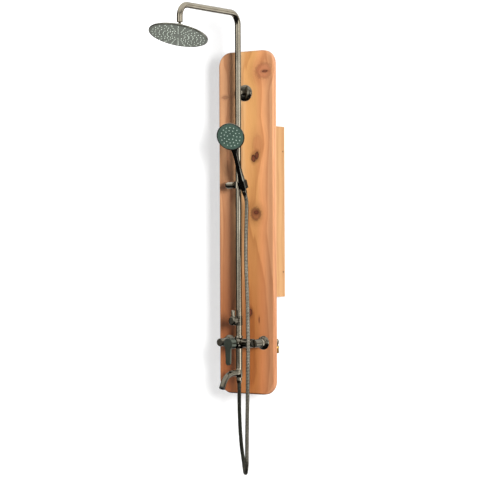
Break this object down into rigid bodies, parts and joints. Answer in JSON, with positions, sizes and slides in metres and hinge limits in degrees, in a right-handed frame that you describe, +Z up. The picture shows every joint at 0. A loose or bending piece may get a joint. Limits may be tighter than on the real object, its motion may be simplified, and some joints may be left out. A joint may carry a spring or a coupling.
{
  "type": "outdoor shower",
  "caption": "Wall-hung outdoor shower: cedar board, exposed mixer, bent riser with rain head, hand shower on a sliding holder, hose and tub spout.",
  "frame": {"origin": "centre of the four wall screw holes, on the wall plane", "axes": "+Z up, -Y out of the wall towards the user, +X to the right of a user who faces the wall"},
  "size_m": [0.24, 0.5943, 1.6444],
  "materials": {
    "cedar": "oiled",
    "pine": "planed",
    "nail_steel": "rusted",
    "zinc_steel": "zinc plated",
    "nickel": "brushed nickel",
    "polished_nickel": "polished nickel",
    "raw_brass": "turned",
    "black_rubber": "moulded",
    "white_plastic": "moulded",
    "plated_plastic": "nickel plated",
    "spray_face": "satin",
    "nozzle_silicone": "silicone",
    "head_steel": "satin nickel",
    "head_plate": "satin",
    "hose_steel": "interlocked strip"
  },
  "bodies": {
    "root": {"cedar_board": "cedar", "left_side_strip": "pine", "right_side_strip": "pine", "upper_cross_rail": "pine", "lower_cross_rail": "pine", "frame_nails": "nail_steel", "frame_screws": "zinc_steel", "bracket_base": "polished_nickel", "bracket_screws": "zinc_steel", "bracket_flange": "polished_nickel", "bracket_stub": "nickel", "bracket_set_screw": "zinc_steel", "riser_pipe": "nickel", "swivel_ball": "nickel", "diverter_body": "polished_nickel", "lower_riser": "nickel", "outlet_collar": "nickel", "mixer_body": "polished_nickel", "cartridge": "white_plastic", "retaining_nut": "raw_brass", "bonnet": "polished_nickel", "inlet_nipples": "raw_brass", "escutcheons": "polished_nickel", "union_nuts": "nickel", "inlet_washers": "black_rubber", "lock_nuts": "raw_brass", "left_supply_elbow": "nickel", "right_supply_elbow": "nickel", "left_hose_adapter": "raw_brass", "right_hose_adapter": "raw_brass", "down_tube": "nickel", "spout_tee": "nickel", "spout": "nickel", "spout_tip": "black_rubber", "lower_hose_nut": "polished_nickel", "hose": "hose_steel"},
    "lever_carrier": {"lever_carrier": "white_plastic", "lever_pin": "zinc_steel"},
    "lever": {"lever_stem": "raw_brass", "lever_handle": "polished_nickel", "handle_screw": "zinc_steel"},
    "diverter": {"diverter_spindle": "raw_brass", "diverter_knob": "polished_nickel", "diverter_post": "nickel"},
    "slider_bush": {"slider_bush": "white_plastic"},
    "slider": {"slider_body": "nickel", "cradle_screw": "zinc_steel"},
    "lock_knob": {"lock_knob": "nickel"},
    "cradle": {"cradle": "plated_plastic"},
    "cradle_liner": {"cradle_liner": "white_plastic"},
    "handset": {"handset_body": "plated_plastic", "handset_face": "spray_face", "handset_nozzles": "nozzle_silicone", "upper_hose_nut": "polished_nickel"},
    "seat_ring": {"seat_ring": "black_rubber"},
    "rain_head": {"ball_nut": "head_steel", "rain_head_back": "head_steel", "rain_head_plate": "head_plate", "rain_head_nozzles": "nozzle_silicone"}
  },
  "joints": [
    {"name": "lever_swing", "type": "hinge", "parent": "root", "child": "lever_carrier", "pos_m": [0, -0.175, -0.467], "axis": [0, -1, 0], "range_deg": [-45, 45]},
    {"name": "lever_lift", "type": "hinge", "parent": "lever_carrier", "child": "lever", "pos_m": [0, -0.189, -0.467], "axis": [-1, 0, 0], "range_deg": [0, 25]},
    {"name": "diverter_turn", "type": "hinge", "parent": "root", "child": "diverter", "pos_m": [0, -0.18, -0.388], "axis": [0, -1, 0], "range_deg": [-60, 60]},
    {"name": "slider_slide", "type": "slide", "parent": "root", "child": "slider_bush", "axis": [0, 0, 1], "range_m": [-0.3, 0.26], "deforming": ["hose"]},
    {"name": "slider_swing", "type": "hinge", "parent": "slider_bush", "child": "slider", "pos_m": [0, -0.154, 0.094], "axis": [0, 0, 1], "range_deg": [-30, 20], "deforming": ["hose"]},
    {"name": "lock_knob_turn", "type": "hinge", "parent": "slider", "child": "lock_knob", "pos_m": [-0.0194, -0.154, 0.094], "axis": [-1, 0, 0], "range_deg": [-180, 180]},
    {"name": "cradle_tilt", "type": "hinge", "parent": "slider", "child": "cradle", "pos_m": [0.0243, -0.154, 0.094], "axis": [1, 0, 0], "range_deg": [-15, 25], "deforming": ["hose"]},
    {"name": "handset_spin", "type": "hinge", "parent": "cradle", "child": "cradle_liner", "pos_m": [0.034, -0.17472, 0.09419], "axis": [0, -0.3681, 0.9298], "range_deg": [-20, 20], "deforming": ["hose"]},
    {"name": "handset_lift", "type": "slide", "parent": "cradle_liner", "child": "handset", "axis": [0, -0.3681, 0.9298], "range_m": [0, 0.03], "deforming": ["hose"]},
    {"name": "rain_head_tilt", "type": "hinge", "parent": "root", "child": "seat_ring", "pos_m": [0, -0.487, 0.625], "axis": [1, 0, 0], "range_deg": [-3, 27]},
    {"name": "rain_head_roll", "type": "hinge", "parent": "seat_ring", "child": "rain_head", "pos_m": [0, -0.487, 0.625], "axis": [0, 0.9563, -0.2924], "range_deg": [-10, 10]}
  ]
}
